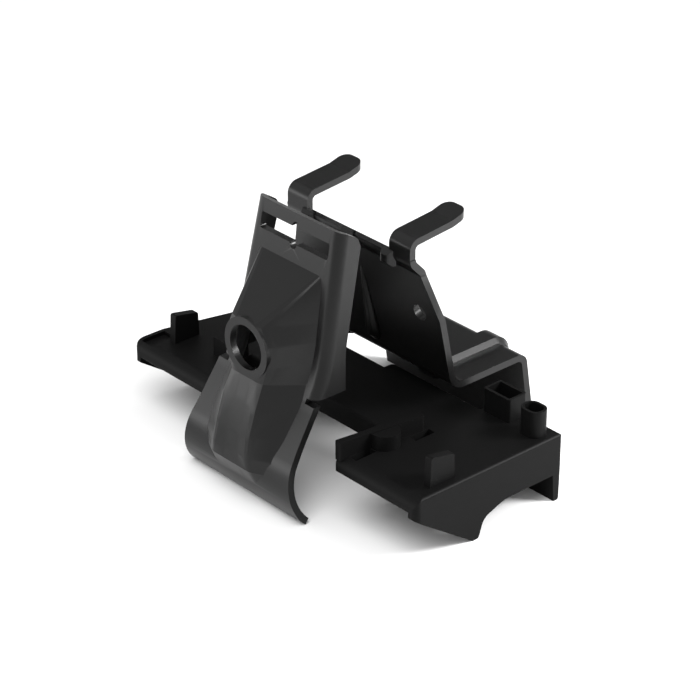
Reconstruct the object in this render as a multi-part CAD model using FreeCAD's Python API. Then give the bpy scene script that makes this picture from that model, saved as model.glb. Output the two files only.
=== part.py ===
"""Roof rack fit kit: the moulded foot pad and the two pressed steel brackets of one rack foot.

The pad straddles a flush roof rail that runs along X. The outer bracket hooks under the rail's outer side
in front of the pad, and the inner bracket stands behind it with its two arms reaching inboard.
X runs along the rail, Y points across the car from outside to inside, Z is up, and the pad's feet, the
outer bracket's lip and the inner bracket's rear flange all stand on Z = 0.
While it is built, X = 0 is the brackets' middle plane and Y = 0 the pad's front edge.
"""
import FreeCAD, Part
import os
from math import atan2, cos, hypot, pi, radians, sin, tan

V = FreeCAD.Vector

# cutting bodies run this far past what they cut
PAST = 60.0

# foot pad
PAD_LENGTH = 146.8
PAD_DEPTH = 66.8
PAD_TOP = 25.2
PAD_SKIN = 3.5
PAD_WALL = 3.6
FRONT_SKIRT_BOTTOM = 19.4
FRONT_EDGE_RADIUS = 4.5
END_WALL_DROP = 1.7
END_EDGE_RADIUS = 1.2
WING_START = 34.0
WING_SLANT = 4.8
BRIDGE_FRONT = 24.0
BRIDGE_BACK = 53.5
BRIDGE_STEP = 3.5
BRIDGE_DEPTH = 7.5
BACK_WING_START = 43.6
LEFT_END_TAPER = 13.0
FOOT_TIP_Y = 25.8
FOOT_TIP_WIDTH = 2.6
SADDLE_ROOF = 10.3
SADDLE_FRONT_RADIUS = 8.0
REAR_WALL = 3.0
RIB_THICKNESS = 2.4
RIM_HEIGHT = 5.8
RIM_WALL = 2.8
RIM_LENGTH = 32.0
SNAP_POST_RADIUS = 5.2
SNAP_SLOT_LENGTH = 8.6
SNAP_SLOT_WIDTH = 3.0
SOCKET_FRONT = 57.5
SOCKET_WALL = 1.0
SOCKET_SIZE = (12.4, 8.2)
SOCKET_HEIGHT = 8.8
SMALL_SOCKET_SIZE = (8.8, 7.2)
SMALL_SOCKET_HEIGHT = 9.8
SMALL_SOCKET_RADIUS = 3.2
RIGHT_TAB_X = 67.2
LEFT_TAB_X = 61.4
TAB_Y = 9.2
TAB_WALL = 2.9
TAB_LENGTH = 11.0
TAB_HEIGHT = 11.0
TAB_BACK_HEIGHT = 9.0
STOP_SIZE = (9.5, 9.0, 7.0)

# pressed steel
SHEET = 2.5
BEND_RADIUS = 4.0

# outer bracket
OUTER_LIP_Y = -8.7
OUTER_STRAIGHT = 40.5
OUTER_LEAN = 11.4
OUTER_FLARE_BEND = 22.0
OUTER_FLARE = 33.0
OUTER_FLARE_STRAIGHT = 17.0
OUTER_HOOK_LENGTH = 24.2
OUTER_HOOK = -46.0
OUTER_TOP_HALF = 21.3
OUTER_MID_HALF = 24.3
OUTER_LIP_HALF = 29.5
OUTER_TOP_Z = 96.8
RELIEF_RADIUS = 5.0
FLARE_STRAIGHTS = 3
FLANGE_END_Z = 40.6
NOTCH_HEIGHT = 1.6
BOLT_HOLE_RADIUS = 8.0
BOLT_Z = 54.9
BOSS_RING = 10.8
BOSS_Y = -8.8
FUNNEL_TOP_Z = 81.0
FUNNEL_TOP_Y = 12.2
FUNNEL_TOP_HALF = 15.0
BOSS_TOP_Z = 64.6
BOSS_BOTTOM_Z = 44.0
RIB_HALF = 8.4
RIB_NOSE_Z = 19.4
RIB_NOSE_Y = -16.6
RIB_END_Z = 8.5
RIB_GROOVE = 0.5
SLOT_LENGTH = 34.0
SLOT_HEIGHT = 5.6
SLOT_Z = 88.9
SLOT_NOTCH_RADIUS = 1.7

# inner bracket
INNER_FACE_Y = 36.0
INNER_NECK_HALF = 31.0
INNER_HALF = 37.0
NECK_TOP_Z = 83.0
JOGGLE_TOP_Z = 81.2
JOGGLE_STEP = 4.5
INNER_LEAN = 12.3
SHELF_TOP_Z = 34.4
SHELF_BACK_Y = 83.2
REAR_FLANGE_LEAN = 8.5
TAPER_TOP_Z = 76.5
TAPER_BOTTOM_Z = 60.0
ARM_CENTRE = 25.6
ARM_WIDTH = 10.2
ARM_TOP_Z = 90.0
ARM_REACH = 19.0
ARM_RISE = 5.5
ARM_TIP = 7.5
ARM_TIP_RISE = 16.0
ARM_TIP_RADIUS = 3.6
GUSSET_PITCH = 20.0
GUSSET_HALF = 3.0
PLATE_HOLE_X = 27.1
PLATE_HOLE_Z = 60.2
PLATE_HOLE_RADIUS = 3.0
DROP_TOP_Z = 68.0
DROP_BOTTOM_Z = 42.5
BEAD_X = 22.0
BEAD_WIDTH = 10.0
BEAD_HEIGHT = 2.4
BEAD_SLOPE = 1.6


def lerp(a, b, t):
    return a + (b - a) * t


def ramp(x, x0, x1):
    """0 at x0, 1 at x1, held outside."""
    return min(1.0, max(0.0, (x - x0) / (x1 - x0)))


def box(x0, x1, y0, y1, z0, z1):
    return Part.makeBox(x1 - x0, y1 - y0, z1 - z0, V(x0, y0, z0))


def rounded_wire(corners):
    """Closed wire through (point, radius) corners, each corner an arc of its radius."""
    ends = []
    count = len(corners)
    for i, (point, radius) in enumerate(corners):
        to_last = (corners[i - 1][0] - point).normalize()
        to_next = (corners[(i + 1) % count][0] - point).normalize()
        half = to_last.getAngle(to_next) / 2
        if radius <= 0 or abs(half - pi / 2) < 1e-4:
            ends.append((point, None, point))
            continue
        reach = radius / tan(half)
        middle = (to_last + to_next).normalize() * (radius / sin(half) - radius)
        ends.append((point + to_last * reach, point + middle, point + to_next * reach))
    edges = []
    for i, (start, middle, end) in enumerate(ends):
        if middle is not None:
            edges.append(Part.Arc(start, middle, end).toShape())
        following = ends[(i + 1) % count][0]
        if end.distanceToPoint(following) > 1e-5:
            edges.append(Part.makeLine(end, following))
    return Part.Wire(edges)


def prism(corners, direction):
    return Part.Face(rounded_wire(corners)).extrude(direction)


def plan_prism(points, z0, z1):
    """Upright prism on a plan of (x, y, corner radius)."""
    return prism([(V(x, y, z0), r) for x, y, r in points], V(0, 0, z1 - z0))


def side_prism(points, x0, x1):
    """Prism along X on a side view of (y, z, corner radius)."""
    return prism([(V(x0, y, z), r) for y, z, r in points], V(x1 - x0, 0, 0))


def front_prism(points, y0, y1):
    """Prism along Y on a front view of (x, z, corner radius)."""
    return prism([(V(x, y0, z), r) for x, z, r in points], V(0, y1 - y0, 0))


def fuse(shapes):
    return shapes[0].fuse(shapes[1:]).removeSplitter() if len(shapes) > 1 else shapes[0]


def mirrored(shape):
    return shape.mirror(V(0, 0, 0), V(1, 0, 0))


# foot pad

def saddle_profile(inner=False):
    """Side view of the end walls and cross ribs, with the rail's saddle cut into the bottom."""
    bottom = FRONT_SKIRT_BOTTOM - END_WALL_DROP
    tip_end = FOOT_TIP_Y + FOOT_TIP_WIDTH
    sunk = 1.6
    front = [(0, bottom, 0.8)]
    if inner:
        front = [(sunk, FRONT_SKIRT_BOTTOM + 1, 0), (PAD_WALL, FRONT_SKIRT_BOTTOM, 0)]
    profile = front + [
        (FOOT_TIP_Y, 0, 1.2), (tip_end, 0, 1.0),
        (tip_end + 2.4, SADDLE_ROOF - 3.4, 5.0), (tip_end + 12, SADDLE_ROOF, SADDLE_FRONT_RADIUS * 2),
        (PAD_DEPTH - REAR_WALL - 1.2, SADDLE_ROOF, 0), (PAD_DEPTH - REAR_WALL - 0.4, 0, 0),
        (PAD_DEPTH - 1.2, 0, 0.9), (PAD_DEPTH, PAD_TOP, 1.6), (0, PAD_TOP, FRONT_EDGE_RADIUS)]
    if inner:
        skin = [(PAD_DEPTH - sunk, 0), (PAD_DEPTH - sunk, PAD_TOP - sunk), (6.0, PAD_TOP - sunk),
                (sunk, PAD_TOP - 4.0)]
        return [(y, z, 0) for y, z, _ in profile[:-3]] + [(y, z, 0) for y, z in skin]
    return profile


def skin_profile():
    """Side view of the wings' shell: top, short front skirt and full rear wall."""
    return [
        (0, FRONT_SKIRT_BOTTOM, 0.8), (PAD_WALL, FRONT_SKIRT_BOTTOM, 0.8),
        (PAD_WALL + 1.2, PAD_TOP - PAD_SKIN, 0), (PAD_DEPTH - REAR_WALL - 1, PAD_TOP - PAD_SKIN, 0),
        (PAD_DEPTH - REAR_WALL - 0.4, 0, 0),
        (PAD_DEPTH - 1.2, 0, 0.9), (PAD_DEPTH, PAD_TOP, 1.6), (0, PAD_TOP, FRONT_EDGE_RADIUS)]


def wing_plan():
    """Plan of the right wing, between the bracket's recess and the pad's end."""
    end = PAD_LENGTH / 2
    return [
        (WING_START, 0, 1.0), (end, 0, 2.5), (end, PAD_DEPTH, 1.5), (BACK_WING_START, PAD_DEPTH, 1.0),
        (BACK_WING_START, BRIDGE_BACK + BRIDGE_STEP, 1.0),
        (WING_START + WING_SLANT + 2, BRIDGE_BACK + BRIDGE_STEP, 0), (WING_START + WING_SLANT, RIM_LENGTH, 0)]


def left_wing_plan():
    """Plan of the left wing, whose end is cut at a slant."""
    end = -PAD_LENGTH / 2
    return [
        (-WING_START, 0, 1.0), (end, 0, 2.5), (end, 13, 6.0),
        (end + LEFT_END_TAPER, PAD_DEPTH, 1.5), (-BACK_WING_START, PAD_DEPTH, 1.0),
        (-BACK_WING_START, BRIDGE_BACK, 1.0), (-WING_START - WING_SLANT - 2, BRIDGE_BACK, 0),
        (-WING_START - WING_SLANT, RIM_LENGTH, 0)]


def rib_stations():
    """Left sides of the cross walls under a wing, from the recess to the end wall."""
    end = PAD_LENGTH / 2
    first = WING_START + WING_SLANT + 2
    last = end - PAD_WALL
    return [first, lerp(first, last, 1 / 3), lerp(first, last, 2 / 3), last]


def wing_shell(plan):
    """Shell of the right wing under the given plan, mirrored by the caller for the left one."""
    end = PAD_LENGTH / 2
    pieces = [side_prism(skin_profile(), WING_START - 1, end + 1)]
    for x in rib_stations():
        at_end = x > end - PAD_WALL - 0.1
        pieces.append(side_prism(saddle_profile(not at_end), x, x + (PAD_WALL if at_end else RIB_THICKNESS)))
    side = plan_prism(
        [(WING_START - 1, -1, 0), (WING_START + RIM_WALL, -1, 0),
         (WING_START + WING_SLANT + RIM_WALL, RIM_LENGTH, 0),
         (WING_START + WING_SLANT + RIM_WALL, BRIDGE_BACK, 0), (WING_START - 1, BRIDGE_BACK, 0)], 0, PAD_TOP)
    pieces.append(side.common(side_prism(saddle_profile(True), WING_START - 1, end)))
    return fuse(pieces).common(plan_prism(plan, -1, PAD_TOP + 1))


def left_wing():
    """The left wing is the right one mirrored and cut to its slanted end, with a wall along the cut."""
    end = PAD_LENGTH / 2
    body = mirrored(wing_shell([(WING_START, 0, 1.0), (end + 1, 0, 0), (end + 1, PAD_DEPTH, 0),
                                (BACK_WING_START, PAD_DEPTH, 1.0), (BACK_WING_START, BRIDGE_BACK, 1.0),
                                (WING_START + WING_SLANT + 2, BRIDGE_BACK, 0),
                                (WING_START + WING_SLANT, RIM_LENGTH, 0)]))
    full = plan_prism(left_wing_plan(), -1, PAD_TOP + 1)
    core = [(x + PAD_WALL if x < -end + 30 else x, y, 0) for x, y, _ in left_wing_plan()]
    end_wall = full.cut(plan_prism(core, -2, PAD_TOP + 2)).common(
        side_prism(saddle_profile(), -end - 1, -WING_START - 12))
    return fuse([body.common(full), end_wall])


def bridge():
    """Thin plate that joins the two wings behind the outer bracket, hollow below, deeper at the right."""
    reach = WING_START + WING_SLANT + 4
    bottom = PAD_TOP - BRIDGE_DEPTH
    slab = side_prism(
        [(BRIDGE_FRONT, bottom, 0.8), (BRIDGE_BACK, bottom, 0.8),
         (BRIDGE_BACK, PAD_TOP, 0.8), (BRIDGE_FRONT, PAD_TOP, 1.2)], -reach, reach)
    pocket = box(-WING_START, WING_START, BRIDGE_FRONT + PAD_WALL, BRIDGE_BACK - PAD_WALL, bottom - 1,
                 PAD_TOP - PAD_SKIN)
    deeper = plan_prism(
        [(0, BRIDGE_BACK - PAD_WALL / 2, 0), (reach, BRIDGE_BACK - PAD_WALL / 2, 0),
         (reach, BRIDGE_BACK + BRIDGE_STEP, 0), (0, BRIDGE_BACK + BRIDGE_STEP, 1.5)], bottom, PAD_TOP)
    return fuse([slab.cut(pocket), deeper])


def side_rim():
    """Raised rim on the right wing beside the recess."""
    top = PAD_TOP + RIM_HEIGHT
    return plan_prism(
        [(WING_START, 0, 0.8), (WING_START + RIM_WALL, 0, 0.8),
         (WING_START + WING_SLANT + RIM_WALL, RIM_LENGTH + 1.5, 0.8),
         (WING_START + WING_SLANT, RIM_LENGTH + 1.5, 0.8)], PAD_TOP - 1, top)


def snap_seat():
    """Half round post against the rim."""
    x = WING_START + RIM_WALL + 2.6
    post = Part.makeCylinder(SNAP_POST_RADIUS, RIM_HEIGHT + 0.6, V(x, 17.6, PAD_TOP - 1))
    return post.common(box(x - 4, x + 9, 0, 40, 0, 60))


def snap_slots():
    """Two slots through the wing beside the rim, before and behind the post."""
    slots = []
    for y in (3.4, 26.6):
        x = WING_START + RIM_WALL + WING_SLANT * (y + SNAP_SLOT_LENGTH / 2) / RIM_LENGTH + 0.3
        slots.append(box(x, x + SNAP_SLOT_WIDTH, y, y + SNAP_SLOT_LENGTH,
                         PAD_TOP - PAD_SKIN - 3, PAD_TOP + 9))
    return fuse(slots)


def socket(x, y, size, height, radius):
    """Open socket with rounded corners, its left front corner at x, y."""
    w, d = size
    g = SOCKET_WALL
    outer = plan_prism([(x, y, radius), (x + w, y, radius), (x + w, y + d, radius), (x, y + d, radius)],
                       PAD_TOP - 1, PAD_TOP + height)
    inside = max(0, radius - g)
    inner = plan_prism(
        [(x + g, y + g, inside), (x + w - g, y + g, inside), (x + w - g, y + d - g, inside),
         (x + g, y + d - g, inside)], PAD_TOP + 0.6, PAD_TOP + height + 1)
    return outer.cut(inner)


def tab(x):
    """Upright tab on the right wing, a little lower at its back."""
    y0, y1 = TAB_Y, TAB_Y + TAB_LENGTH
    return side_prism(
        [(y0, PAD_TOP - 1, 0), (y1, PAD_TOP - 1, 0), (y1 - 0.3, PAD_TOP + TAB_BACK_HEIGHT, 0.8),
         (y0 + 0.6, PAD_TOP + TAB_HEIGHT, 0.8)], x, x + TAB_WALL)


def left_stop():
    """Low stop block on the left wing."""
    w, d, h = STOP_SIZE
    x0 = -47.0
    y0 = 14.5
    return plan_prism([(x0, y0, 0.8), (x0 + w, y0, 0.8), (x0 + w, y0 + d, 0.8), (x0, y0 + d, 0.8)],
                      PAD_TOP - 1, PAD_TOP + h)


def foot_pad():
    end = PAD_LENGTH / 2
    rounded_end = front_prism(
        [(0, -1, 0), (end, -1, 0), (end, PAD_TOP, END_EDGE_RADIUS), (0, PAD_TOP, 0)], -1, PAD_DEPTH + 1)
    pad = fuse([
        wing_shell(wing_plan()).common(rounded_end), left_wing(), bridge(), side_rim(), snap_seat(),
        socket(44.6, SOCKET_FRONT, SOCKET_SIZE, SOCKET_HEIGHT, 0.8),
        socket(62.2, SOCKET_FRONT - 1.6, SMALL_SOCKET_SIZE, SMALL_SOCKET_HEIGHT, SMALL_SOCKET_RADIUS),
        tab(RIGHT_TAB_X), mirrored(tab(LEFT_TAB_X)), left_stop()])
    recess = box(-PAD_LENGTH / 2 + 1.6, -PAD_LENGTH / 2 + 7.4, 2.5, 12.5, PAD_TOP - 1.4, PAD_TOP + 1)
    return pad.cut(snap_slots()).cut(recess)


# outer bracket

def down(lean):
    """Direction in the side view of a line that leans forward as it goes down."""
    return -sin(radians(lean)), -cos(radians(lean))


def outer_line():
    """Corners and bend radii of the front line's side view, from the lip up: ([(y, z)], [radius])."""
    flare_radius = OUTER_FLARE_BEND / radians(OUTER_FLARE - OUTER_LEAN)
    hook_radius = OUTER_HOOK_LENGTH / radians(OUTER_FLARE - OUTER_HOOK)
    flare_reach = flare_radius * tan(radians(OUTER_FLARE - OUTER_LEAN) / 2)
    hook_reach = hook_radius * tan(radians(OUTER_FLARE - OUTER_HOOK) / 2)
    lengths = [(OUTER_HOOK, hook_reach), (OUTER_FLARE, hook_reach + OUTER_FLARE_STRAIGHT + flare_reach),
               (OUTER_LEAN, flare_reach + OUTER_STRAIGHT)]
    points = [(OUTER_LIP_Y, 0.0)]
    for lean, length in lengths:
        dy, dz = down(lean)
        y, z = points[-1]
        points.append((y - dy * length, z - dz * length))
    return points, [0, hook_radius - SHEET, flare_radius, 0]


def half_width(z):
    """Half of the outer bracket's width above its notch, where the sides taper evenly."""
    return lerp(OUTER_MID_HALF, OUTER_TOP_HALF, (z - FLANGE_END_Z) / (OUTER_TOP_Z - FLANGE_END_Z))


def between(keys, z):
    """Value at z on straight lines through (z, value) keys that run from high to low."""
    if z >= keys[0][0]:
        return keys[0][1]
    for (z1, v1), (z0, v0) in zip(keys, keys[1:]):
        if z >= z0:
            return lerp(v0, v1, ramp(z, z0, z1))
    return keys[-1][1]


def front_y(z):
    """Y of the front line at a height, read from the bent line itself."""
    points, radii = outer_line()
    level = Part.makeLine(V(0, -PAST, z), V(0, PAST - 1, z))
    corners = [(V(0, y, h), r + (SHEET if i == 1 else 0)) for i, ((y, h), r) in enumerate(zip(points, radii))]
    line = rounded_wire(corners + [(V(0, PAST, 2 * OUTER_TOP_Z), 0), (V(0, PAST, -PAST), 0)])
    hits = [v.Y for v in line.common(level).Vertexes] or [v.Y for v in level.section(line).Vertexes]
    return min(hits)


def behind_line(shift, x_half):
    """Solid behind the front line, or behind the back skin with shift at the sheet's thickness."""
    points, radii = outer_line()
    if shift:
        points = offset_path(points, shift)
        radii = [0, radii[1], radii[2] + shift, 0]
    else:
        radii = [0, radii[1] + SHEET, radii[2], 0]
    lip, top = points[0], points[-1]
    return side_prism([(y, z, r) for (y, z), r in zip(points, radii)]
                      + [(top[0] + 60, top[1], 0), (lip[0] + 90, lip[1], 0)], -x_half, x_half)


def channel_line():
    """Front line above the notch from the bottom up, its long bend taken in short straights: [(y, z)]."""
    points, radii = outer_line()
    radius = radii[2]
    reach = radius * tan(radians(OUTER_FLARE - OUTER_LEAN) / 2)
    dy, dz = down(OUTER_LEAN)
    y = points[2][0] - dy * reach
    z = points[2][1] - dz * reach
    line = [points[3], (y, z)]
    for step in range(1, FLARE_STRAIGHTS + 1):
        lean = lerp(OUTER_LEAN, OUTER_FLARE - 3.5, step / FLARE_STRAIGHTS)
        line.append((y + radius * (cos(radians(lean)) - cos(radians(OUTER_LEAN))),
                     z - radius * (sin(radians(lean)) - sin(radians(OUTER_LEAN)))))
    return line[::-1]


def channel():
    """Front plate and side flanges above the notch, bent from one sheet, lofted from level sections."""
    line = channel_line()
    (y0, z0), (y1, z1) = line[-2:]
    line[-1] = (y1 + (y1 - y0) * 0.2, z1 + (z1 - z0) * 0.2)
    sections = []
    for i, (y, z) in enumerate(line):
        low, high = line[max(0, i - 1)], line[min(len(line) - 1, i + 1)]
        lean = atan2(high[0] - low[0], high[1] - low[1])
        wide, back, far = half_width(z), y + SHEET / cos(lean), y + 30
        narrow = wide - SHEET
        inner = BEND_RADIUS - SHEET
        sections.append(rounded_wire([(V(x, d, z), r) for x, d, r in (
            (-wide, far, 0), (-wide, y, BEND_RADIUS), (wide, y, BEND_RADIUS), (wide, far, 0),
            (narrow, far, 0), (narrow, back, inner), (-narrow, back, inner), (-narrow, far, 0))]))
    face = Part.makeLoft(sections, True, True)
    top = outer_line()[0][-1]
    flange_view = side_prism(
        [(top[0] - 40, FLANGE_END_Z - 1, 0), (13.6, FLANGE_END_Z - 1, 0), (14.4, 54.6, 30.0),
         (22.6, 89.6, 2.5), (top[0] + 7.2, top[1] - 3.6, 2.5), (top[0] + 3.2, top[1] - 1.1, 1.5),
         (top[0] - 0.01, top[1] + 0.01, 0), (top[0] - 40, top[1] + 8, 0)], -40, 40)
    return face.common(flange_view)


def lower_sheet():
    """Plain sheet below the notch: flare and hook, widening down to the lip."""
    points, radii = outer_line()
    sheet = bent_strip(points, radii, -40, 40)
    mid, low = OUTER_MID_HALF, OUTER_LIP_HALF
    z = FLANGE_END_Z
    return sheet.common(front_prism(
        [(-low, -1, 0), (low, -1, 0), (mid + 1.0, z * 0.62, 60.0), (mid, z + 0.1, 0), (-mid, z + 0.1, 0),
         (-mid - 1.0, z * 0.62, 60.0)], -60, 60))


def crest(z):
    """Y of the pressed relief's crest: funnel, bolt boss, then the rib down to the hook."""
    return between(
        [(FUNNEL_TOP_Z, FUNNEL_TOP_Y), (BOSS_TOP_Z, BOSS_Y), (BOSS_BOTTOM_Z, BOSS_Y), (34.0, -13.3),
         (26.0, -15.4), (RIB_NOSE_Z, RIB_NOSE_Y), (14.5, -16.4), (RIB_END_Z, -13.4)], z)


def crest_half(z):
    """Half width of the relief's flat crest."""
    if z > BOSS_TOP_Z:
        return lerp(RIB_HALF - 0.8, FUNNEL_TOP_HALF, ramp(z, BOSS_TOP_Z, FUNNEL_TOP_Z))
    ring = BOSS_RING - 0.3
    return between(
        [(BOSS_TOP_Z, RIB_HALF - 0.8), (BOLT_Z + 3.5, ring), (BOLT_Z - 3.5, ring),
         (BOSS_BOTTOM_Z, RIB_HALF - 0.4), (36.0, RIB_HALF), (20.0, RIB_HALF), (12.0, RIB_HALF + 1.6)], z)


def flank_foot(z):
    """Where the relief's flank meets the plain sheet."""
    if z < RIB_NOSE_Z:
        return lerp(15.0, 20.5, ramp(z, RIB_END_Z, RIB_NOSE_Z))
    return lerp(20.5, half_width(z) - BEND_RADIUS - 1.0, ramp(z, FLANGE_END_Z - 6, FLANGE_END_Z + 4))


def groove_depth(z):
    """Depth of the shallow channel down the middle of the rib's crest."""
    return RIB_GROOVE * ramp(z, 15.0, RIB_NOSE_Z) * ramp(z, BOSS_BOTTOM_Z - 2, 36.0)


def relief(shift):
    """Funnel and rib as one ruled body; shift moves it back through the sheet for its hollow."""
    sections = []
    for z in (FUNNEL_TOP_Z, BOSS_TOP_Z, BOLT_Z + 3.5, BOLT_Z - 3.5, BOSS_BOTTOM_Z, 36.0, 27.0, RIB_NOSE_Z,
              14.5, RIB_END_Z):
        line = front_y(z)
        top = min(crest(z), line + (1.1 if z > BOSS_TOP_Z else 0.8)) + shift * 1.1
        base = line + (SHEET + 2.4 if shift else 1.7)
        wide, narrow = flank_foot(z) - shift * 0.45, crest_half(z) - shift * 0.45
        slope = atan2(base - top, wide - narrow)
        reach = RELIEF_RADIUS * tan(slope / 2)
        lip = narrow - reach
        half = [(lip * 0.45, top + groove_depth(z)), (lip, top),
                (narrow + reach * (cos(slope / 2) - 1) / 2 + 0.1, top + reach * sin(slope) * 0.28),
                (narrow + reach * cos(slope), top + reach * sin(slope)), (wide, base)]
        corners = [V(x, y, z) for x, y in half] + [V(-x, y, z) for x, y in reversed(half)]
        sections.append(Part.makePolygon(corners + corners[:1]))
    return Part.makeLoft(sections, True, True)


def boss(shift):
    """Round bolt boss that stands out of the relief; shift as for the relief."""
    radius = BOSS_RING - shift * 0.7
    depth = 13.0
    return Part.makeCone(radius, radius + 2.0, depth, V(0, BOSS_Y + shift, BOLT_Z), V(0, 1, 0))


def slot_cut():
    """Long slot for the foot's hook, with a small round notch mid-length above and below."""
    half = SLOT_LENGTH / 2
    cut = front_prism(
        [(-half, SLOT_Z - SLOT_HEIGHT / 2, 0.8), (half, SLOT_Z - SLOT_HEIGHT / 2, 0.8),
         (half, SLOT_Z + SLOT_HEIGHT / 2, 0.8), (-half, SLOT_Z + SLOT_HEIGHT / 2, 0.8)], 0, 30)
    notches = [Part.makeCylinder(SLOT_NOTCH_RADIUS, 30, V(0, 0, SLOT_Z + side * SLOT_HEIGHT / 2), V(0, 1, 0))
               for side in (-1, 1)]
    return fuse([cut] + notches)


def side_notch(side):
    """Relief notch where the side flange ends and the flare begins."""
    x = side * (OUTER_MID_HALF - BEND_RADIUS - 0.4)
    return box(min(x, x + side * PAST), max(x, x + side * PAST), -PAST, PAST,
               FLANGE_END_Z - NOTCH_HEIGHT, FLANGE_END_Z + 0.1)


def outer_bracket():
    sheet = fuse([channel(), lower_sheet()])
    sheet = sheet.cut(side_notch(-1)).cut(side_notch(1))
    back = behind_line(SHEET, 40)
    raised = fuse([relief(0), boss(0)]).cut(back)
    hollow = fuse([relief(SHEET), boss(SHEET)])
    bracket = fuse([sheet, raised]).cut(hollow)
    bolt_hole = Part.makeCylinder(BOLT_HOLE_RADIUS, 2 * PAST, V(0, BOSS_Y - PAST, BOLT_Z), V(0, 1, 0))
    return bracket.cut(bolt_hole).cut(slot_cut())


# inner bracket

def offset_path(path, distance):
    """The path of (y, z) points moved sideways, to the right of its run, with mitred corners."""
    result = []
    for i, (y, z) in enumerate(path):
        normals = []
        for a, b in ((i - 1, i), (i, i + 1)):
            if 0 <= a and b < len(path):
                dy, dz = path[b][0] - path[a][0], path[b][1] - path[a][1]
                length = hypot(dy, dz)
                normals.append((dz / length, -dy / length))
        ny, nz = [sum(n[k] for n in normals) / len(normals) for k in (0, 1)]
        scale = distance / (ny * ny + nz * nz)
        result.append((y + ny * scale, z + nz * scale))
    return result


def bent_strip(path, radii, x0, x1):
    """Bent sheet between x0 and x1: path is one skin, the sheet lies to the right of its run."""
    other = offset_path(path, SHEET)
    near, far = [], []
    for i, (p, q) in enumerate(zip(path, other)):
        radius = radii[i]
        if radius > 0:
            ay, az = p[0] - path[i - 1][0], p[1] - path[i - 1][1]
            by, bz = path[i + 1][0] - p[0], path[i + 1][1] - p[1]
            inside_far = ay * bz - az * by < 0
            near_radius = radius + SHEET if inside_far else radius
            far_radius = radius if inside_far else radius + SHEET
        else:
            near_radius = far_radius = 0
        near.append((p[0], p[1], near_radius))
        far.append((q[0], q[1], far_radius))
    return side_prism(near + far[::-1], x0, x1)


def plate_y(z):
    """Front of the leaning plate at a height."""
    top = INNER_FACE_Y + JOGGLE_STEP
    return top + (TAPER_TOP_Z - z) * tan(radians(INNER_LEAN))


def inner_main():
    """Neck, joggle, leaning plate, shelf and rear flange, bent from one sheet."""
    bottom = SHELF_TOP_Z - SHEET
    flange_top_y = SHELF_BACK_Y + SHEET
    flange_foot_y = flange_top_y + SHELF_TOP_Z * tan(radians(REAR_FLANGE_LEAN))
    path = [(INNER_FACE_Y, NECK_TOP_Z), (INNER_FACE_Y, JOGGLE_TOP_Z), (plate_y(TAPER_TOP_Z), TAPER_TOP_Z),
            (plate_y(bottom), bottom)]
    # the shelf's underside, then the inner side of the rear flange
    path += [(SHELF_BACK_Y, bottom), (flange_foot_y - SHEET, 0)]
    back = [(-y, z) for y, z in path]
    radii = [0, 1.5, 1.5, 4.5, 2.2, 0]
    strip = bent_strip(back, radii, -INNER_HALF, INNER_HALF)
    return strip.mirror(V(0, 0, 0), V(0, 1, 0))


def plate_taper():
    """Cut that narrows the plate from the shelf's width to the neck's."""
    cuts = []
    for side in (-1, 1):
        cuts.append(front_prism(
            [(side * INNER_NECK_HALF, NECK_TOP_Z + 2, 0), (side * INNER_NECK_HALF, TAPER_TOP_Z, 4.0),
             (side * INNER_HALF, TAPER_BOTTOM_Z, 0), (side * (INNER_HALF + 5), TAPER_BOTTOM_Z, 0),
             (side * (INNER_HALF + 5), NECK_TOP_Z + 2, 0)], INNER_FACE_Y - PAST, INNER_FACE_Y + PAST))
    return fuse(cuts)


def arm():
    """One arm at the right: up from the neck, bent back, then a kinked round tip."""
    z1 = ARM_TOP_Z
    rise = radians(ARM_RISE)
    y2 = INNER_FACE_Y + ARM_REACH
    z2 = z1 + ARM_REACH * tan(rise)
    tip = radians(ARM_TIP_RISE)
    y3 = y2 + ARM_TIP * cos(tip)
    z3 = z2 + ARM_TIP * sin(tip)
    x0, x1 = ARM_CENTRE - ARM_WIDTH / 2, ARM_CENTRE + ARM_WIDTH / 2
    path = [(INNER_FACE_Y, NECK_TOP_Z), (INNER_FACE_Y, z1), (y2, z2), (y3, z3)]
    strip = bent_strip(path, [0, 1.6, 2.0, 0], x0, x1)
    outline = plan_prism(
        [(x0, INNER_FACE_Y - 1, 0), (x1, INNER_FACE_Y - 1, 0), (x1, y3, ARM_TIP_RADIUS),
         (x0, y3, ARM_TIP_RADIUS)], NECK_TOP_Z - 1, z3 + 20)
    return strip.common(outline)


def gussets():
    """Three small pressed gussets where the neck bends, along its top edge."""
    y, z, r = INNER_FACE_Y, JOGGLE_TOP_Z, GUSSET_HALF
    side_view = side_prism(
        [(y + 1, z - r, 0), (y - 0.2, z - r, 0), (y - 0.65 * r, z - 0.5 * r, 0),
         (y - 0.65 * r, z + 0.4 * r, 0), (y - 0.1 * r, z + 0.95 * r, 0), (y + 1, z + 0.95 * r, 0)],
        -PAST, PAST)
    plans = [plan_prism([(x - r, y + 1, 0), (x - 0.6 * r, y - 0.65 * r, 1.2), (x + 0.6 * r, y - 0.65 * r, 1.2),
                         (x + r, y + 1, 0)], z - r, z + r)
             for x in (-GUSSET_PITCH, 0, GUSSET_PITCH)]
    return fuse(plans).common(side_view)


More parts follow.
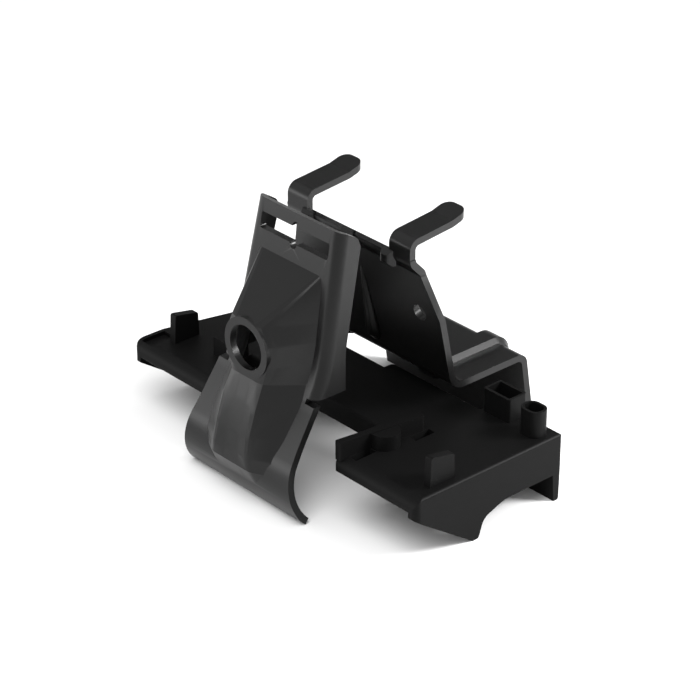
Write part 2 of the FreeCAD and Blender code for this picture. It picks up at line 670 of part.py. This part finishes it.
def teardrop(shift):
    """Drop shaped swage along the plate's middle; shift moves it back through the sheet for its hollow."""
    sections = []
    for z, half, stand in ((DROP_TOP_Z, 0.6, 0.3), (DROP_BOTTOM_Z + 8, 2.6, 1.8), (DROP_BOTTOM_Z, 3.4, 2.4),
                           (DROP_BOTTOM_Z - 2.4, 3.0, 2.0), (DROP_BOTTOM_Z - 4.2, 1.8, 0.6)):
        skin = plate_y(z) + shift * 1.05
        half = max(0.3, half - shift * 0.5)
        buried = skin + (1.8 if shift else 1.2)
        outline = [(half, buried), (half * 0.9, skin - stand * 0.35), (half * 0.5, skin - stand * 0.85),
                   (half * 0.12, skin - stand)]
        corners = [V(x, y, z) for x, y in outline] + [V(-x, y, z) for x, y in reversed(outline)]
        sections.append(Part.makePolygon(corners + corners[:1]))
    return Part.makeLoft(sections, True, True)


def bead(x):
    """Bead across the shelf and over both bends, its long edges sloped."""
    low = SHELF_TOP_Z - SHEET - 0.5
    crest_z = SHELF_TOP_Z + BEAD_HEIGHT
    front = plate_y(SHELF_TOP_Z) + SHEET
    back = SHELF_BACK_Y + SHEET + BEAD_HEIGHT * 0.9
    foot = SHELF_TOP_Z - 12
    solid = side_prism(
        [(front, low, 0), (front - 1.5, crest_z, 2.5), (back, crest_z, 7.5), (back + 1.0, foot + 5, 4.0),
         (SHELF_BACK_Y + 2.0, foot - 2, 0), (SHELF_BACK_Y + 0.6, low, 0)],
        x - BEAD_WIDTH / 2, x + BEAD_WIDTH / 2)
    boxes = [(edge, edge.BoundBox) for edge in solid.Edges]
    sloped = [edge for edge, b in boxes
              if b.XLength < 0.001 and b.ZMin > foot and b.YMax > front - 1.4 and b.ZMax > low + 1.0]
    return solid.makeChamfer(BEAD_SLOPE, sloped)


def bead_hollow(x):
    """Underside of a bead along the flat of the shelf."""
    half = BEAD_WIDTH / 2 - SHEET
    return box(x - half, x + half, plate_y(SHELF_TOP_Z) + SHEET + 2.0, SHELF_BACK_Y - 4.0,
               SHELF_TOP_Z - 2 * SHEET, SHELF_TOP_Z + BEAD_HEIGHT - SHEET)


def inner_bracket():
    above_floor = box(-PAST, PAST, -PAST, 2 * PAST, 0, 2 * PAST)
    plate = inner_main().cut(plate_taper())
    bracket = fuse([plate, arm(), mirrored(arm()), gussets()])
    bracket = fuse([bracket, teardrop(0)]).cut(teardrop(SHEET))
    square = V(0, cos(radians(INNER_LEAN)), sin(radians(INNER_LEAN)))
    for side in (-1, 1):
        x = side * BEAD_X
        bracket = fuse([bracket, bead(x)]).cut(bead_hollow(x))
        start = V(side * PLATE_HOLE_X, plate_y(PLATE_HOLE_Z), PLATE_HOLE_Z) - square * SHEET
        hole = Part.makeCylinder(PLATE_HOLE_RADIUS, 3 * SHEET, start, square)
        bracket = bracket.cut(hole)
    return bracket.common(above_floor)


def main():
    shapes = {"foot_pad": foot_pad(), "outer_bracket": outer_bracket(), "inner_bracket": inner_bracket()}
    bounds = FreeCAD.BoundBox()
    for shape in shapes.values():
        bounds.add(shape.BoundBox)
    origin = V(bounds.Center.x, bounds.Center.y, bounds.ZMin)
    os.makedirs("parts", exist_ok=True)
    for name, shape in shapes.items():
        solid = shape.Solids[0]
        solid.translate(-origin)
        solid.exportStep("parts/" + name + ".step")


main()
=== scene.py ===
from math import radians

import bpy
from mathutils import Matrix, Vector

# Everything is in metres, in the part's own frame.
MM = 0.001

# rounded edges: the coat's build-up on cut sheet, and the tool's radius on the rubber
STEEL_EDGE = 0.5 * MM
RUBBER_EDGE = 0.25 * MM
# folds sharper than this get a rounded edge, shallower ones stay smooth
FOLD_ANGLE = radians(22)
EDGE_SEGMENTS = 3
# the solids' loose triangles meet again where their corners lie this close
WELD_DISTANCE = 0.002 * MM
# how far large faces outweigh small ones in the shading, 50 being neutral
FACE_WEIGHT = 85

FLOOR_SIZE = 6.0
FLOOR_GAP = 0.02 * MM

SENSOR_WIDTH = 36.0
FOCAL_LENGTH = 140.0
CAMERA_PLACE = (0.6124, -0.5437, 0.4786)
CAMERA_TARGET = (0.0049, -0.0043, 0.0411)


def hex_colour(text):
    """sRGB hex value as a linear colour with alpha 1."""
    parts = [int(text[i:i + 2], 16) / 255 for i in (1, 3, 5)]
    return [c / 12.92 if c <= 0.04045 else ((c + 0.055) / 1.055) ** 2.4 for c in parts] + [1.0]


def add_node(tree, kind, inputs=None, links=None):
    """Adds one shader node, sets its socket values and links other nodes' outputs into it."""
    node = tree.nodes.new(kind)
    for name, value in (inputs or {}).items():
        node.inputs[name].default_value = value
    for name, (source, output) in (links or {}).items():
        tree.links.new(source.outputs[output], node.inputs[name])
    return node


def new_material(name):
    material = bpy.data.materials.new(name)
    material.use_nodes = True
    material.node_tree.nodes.clear()
    return material, material.node_tree


def coated_steel():
    """Deep-drawn sheet steel with a black cathodic dip coat.

    The coat is thin and satin: edges and bends catch long soft highlights, and the drawn
    areas show a faint orange peel where the paint followed the stretched steel.
    """
    material, tree = new_material("Black dip-coated steel")
    place = add_node(tree, "ShaderNodeTexCoord")
    # orange peel of a thin coat, about 2.5 mm from crest to crest
    peel = add_node(tree, "ShaderNodeTexNoise",
                    inputs={"Scale": 1 / (2.5 * MM), "Detail": 1.5, "Roughness": 0.4},
                    links={"Vector": (place, "Object")})
    # slow change in gloss from handling, over 30 mm
    wear = add_node(tree, "ShaderNodeTexNoise", inputs={"Scale": 1 / (30 * MM), "Detail": 3.0},
                    links={"Vector": (place, "Object")})
    gloss = add_node(tree, "ShaderNodeMapRange", inputs={"To Min": 0.28, "To Max": 0.36},
                     links={"Value": (wear, "Fac")})
    bump = add_node(tree, "ShaderNodeBump", inputs={"Strength": 0.06, "Distance": 0.02 * MM},
                    links={"Height": (peel, "Fac")})
    coat = add_node(tree, "ShaderNodeBsdfPrincipled",
                    inputs={"Base Color": hex_colour("#060606"), "Metallic": 0.0, "IOR": 1.34},
                    links={"Roughness": (gloss, "Result"), "Normal": (bump, "Normal")})
    add_node(tree, "ShaderNodeOutputMaterial", links={"Surface": (coat, "BSDF")})
    return material


def moulded_rubber():
    """Hard black rubber, moulded in a lightly blasted tool.

    The fine grain scatters the light, so faces stay nearly black and only the rounded
    edges show as soft grey lines.
    """
    material, tree = new_material("Moulded EPDM rubber")
    place = add_node(tree, "ShaderNodeTexCoord")
    # blasted grain is about 0.1 mm and is drawn at 0.5 mm so that it shows
    grain = add_node(tree, "ShaderNodeTexNoise", inputs={"Scale": 1 / (0.5 * MM), "Detail": 2.0},
                     links={"Vector": (place, "Object")})
    bump = add_node(tree, "ShaderNodeBump", inputs={"Strength": 0.2, "Distance": 0.03 * MM},
                    links={"Height": (grain, "Fac")})
    # the grain's pits trap light, so the surface reflects less than smooth rubber would
    rubber = add_node(tree, "ShaderNodeBsdfPrincipled",
                      inputs={"Base Color": hex_colour("#090909"), "Roughness": 0.5, "IOR": 1.155},
                      links={"Normal": (bump, "Normal")})
    add_node(tree, "ShaderNodeOutputMaterial", links={"Surface": (rubber, "BSDF")})
    return material


def plain_matt(name, colour):
    """Plain diffuse studio surface."""
    material, tree = new_material(name)
    paint = add_node(tree, "ShaderNodeBsdfDiffuse", inputs={"Color": hex_colour(colour)})
    add_node(tree, "ShaderNodeOutputMaterial", links={"Surface": (paint, "BSDF")})
    return material


def dress(node, material, edge):
    """Gives a CAD node its finish and rounds its folds by the edge radius."""
    node.data.materials.clear()
    node.data.materials.append(material)
    weld = node.modifiers.new("Merged corners", "WELD")
    weld.merge_threshold = WELD_DISTANCE
    bevel = node.modifiers.new("Edge radius", "BEVEL")
    bevel.width = edge
    bevel.segments = EDGE_SEGMENTS
    bevel.limit_method = "ANGLE"
    bevel.angle_limit = FOLD_ANGLE
    bevel.miter_outer = "MITER_ARC"
    shading = node.modifiers.new("Face weighted shading", "WEIGHTED_NORMAL")
    shading.mode = "FACE_AREA"
    shading.weight = FACE_WEIGHT


def floor():
    bpy.ops.mesh.primitive_plane_add(size=FLOOR_SIZE, location=(0, 0, -FLOOR_GAP))
    plane = bpy.context.active_object
    plane.name = "Floor"
    plane.data.materials.append(plain_matt("Matt white studio floor", "#e0e0e0"))


def facing(thing, place, target):
    """Puts a lamp, card or camera at a place, its -Z toward the target."""
    place = Vector(place)
    thing.location = place
    thing.rotation_euler = (Vector(target) - place).to_track_quat("-Z", "Y").to_euler()


def grey_card(name, place, target, size):
    bpy.ops.mesh.primitive_plane_add(size=1.0)
    card = bpy.context.active_object
    card.name = name
    card.scale = (size[0], size[1], 1)
    card.data.materials.append(plain_matt(name, "#868686"))
    facing(card, place, target)


def area_light(name, place, target, size, power):
    """Rectangular soft box of the given size in metres and power in watts."""
    lamp = bpy.data.lights.new(name, "AREA")
    lamp.shape = "RECTANGLE"
    lamp.size, lamp.size_y = size
    lamp.energy = power
    lamp_object = bpy.data.objects.new(name, lamp)
    bpy.context.collection.objects.link(lamp_object)
    facing(lamp_object, place, target)


def studio():
    """White room with soft boxes low at the left front and above, and a floor lamp at the right."""
    world = bpy.data.worlds.new("White studio")
    bpy.context.scene.world = world
    world.use_nodes = True
    tree = world.node_tree
    tree.nodes.clear()
    background = add_node(tree, "ShaderNodeBackground", inputs={"Color": (1, 1, 1, 1), "Strength": 1.0})
    add_node(tree, "ShaderNodeOutputWorld", links={"Surface": (background, "Background")})
    area_light("Left soft box", (-0.60, -0.60, 0.14), (0, 0, 0.03), (0.8, 0.26), 2.6)
    area_light("Top soft box", (0.25, -0.45, 0.95), (0, -0.02, 0), (0.7, 0.7), 9)
    area_light("Right floor lamp", (0.31, 0.27, 0.22), (0.13, 0.07, 0), (0.12, 0.12), 3.6)
    grey_card("Grey card behind", (-0.62, 0.62, 0.52), (0, 0, 0.04), (1.1, 0.8))


def camera():
    """Camera at the photograph's viewing angle."""
    lens = bpy.data.cameras.new("Camera")
    lens.sensor_width = SENSOR_WIDTH
    lens.lens = FOCAL_LENGTH
    lens.clip_start = 0.01
    camera_object = bpy.data.objects.new("Camera", lens)
    bpy.context.collection.objects.link(camera_object)
    facing(camera_object, CAMERA_PLACE, CAMERA_TARGET)
    bpy.context.scene.camera = camera_object


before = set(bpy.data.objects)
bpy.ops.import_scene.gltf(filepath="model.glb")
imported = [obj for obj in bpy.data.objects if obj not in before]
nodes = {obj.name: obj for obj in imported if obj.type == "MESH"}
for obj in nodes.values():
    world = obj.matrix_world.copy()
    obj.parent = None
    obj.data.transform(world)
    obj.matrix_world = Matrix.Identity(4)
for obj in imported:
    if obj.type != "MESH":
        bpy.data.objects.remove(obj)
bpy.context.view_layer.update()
bpy.context.scene.view_settings.view_transform = "Standard"

steel = coated_steel()
rubber = moulded_rubber()
dress(nodes["outer_bracket"], steel, STEEL_EDGE)
dress(nodes["inner_bracket"], steel, STEEL_EDGE)
dress(nodes["foot_pad"], rubber, RUBBER_EDGE)
floor()
studio()
camera()
